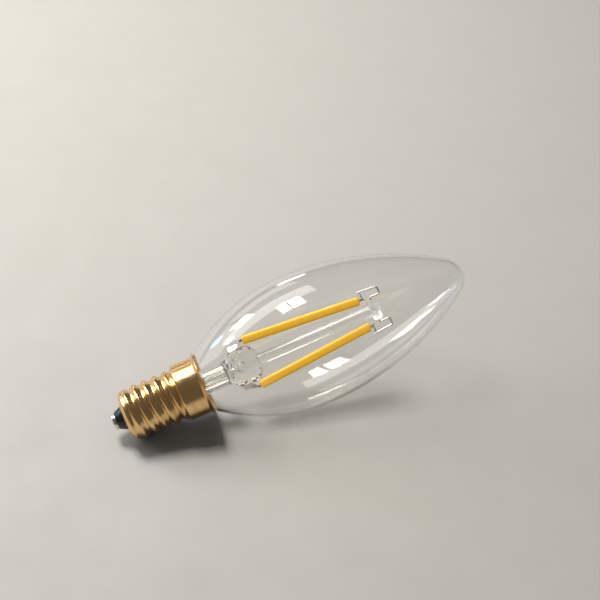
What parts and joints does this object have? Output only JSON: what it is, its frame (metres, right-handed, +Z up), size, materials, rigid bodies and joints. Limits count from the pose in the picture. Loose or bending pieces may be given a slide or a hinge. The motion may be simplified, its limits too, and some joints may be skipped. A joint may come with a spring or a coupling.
{
  "type": "candle bulb",
  "caption": "Candle-shaped LED filament bulb in clear blown glass, with a small brass Edison screw cap, black glass insulator and centre contact, lying on its side.",
  "frame": {"origin": "on the table, under the middle of the object's box", "axes": "+X along the table from the cap to the tip of the glass, +Z up"},
  "size_m": [0.0956, 0.035, 0.0376],
  "materials": {
    "clear_glass": "clear, blown, polished",
    "stem_glass": "clear, drawn and pressed",
    "phosphor": "satin silicone with yellow phosphor",
    "carrier_ceramic": "unglazed white",
    "nickel_sheet": "bright nickel",
    "nickel_wire": "drawn, bright",
    "brass_shell": "drawn and rolled, bright",
    "black_glass": "cast, glossy black",
    "contact_metal": "pressed, plated",
    "solder": "cast drop, satin",
    "cement": "matte",
    "film": "satin film",
    "board": "satin laminate",
    "chip_black": "moulded",
    "capacitor_can": "satin can",
    "resistor_body": "lacquered"
  },
  "bodies": {
    "root": {"glass_envelope": "clear_glass", "stem_flare": "stem_glass", "exhaust_tube": "stem_glass", "support_rod": "stem_glass", "filament_1": "phosphor", "filament_2": "phosphor", "filament_1_carrier": "carrier_ceramic", "filament_2_carrier": "carrier_ceramic", "filament_1_lower_tab": "nickel_sheet", "filament_1_upper_tab": "nickel_sheet", "filament_2_lower_tab": "nickel_sheet", "filament_2_upper_tab": "nickel_sheet", "lead_wire_1": "nickel_wire", "lead_wire_2": "nickel_wire", "bridge_wire": "nickel_wire", "screw_shell": "brass_shell", "insulator": "black_glass", "centre_contact": "contact_metal", "contact_solder": "solder", "basing_cement": "cement", "insulating_sleeve": "film", "driver_board": "board", "rectifier": "chip_black", "regulator": "chip_black", "capacitor": "capacitor_can", "fuse_resistor": "resistor_body", "contact_lead": "nickel_wire", "shell_lead": "nickel_wire"}
  },
  "joints": []
}
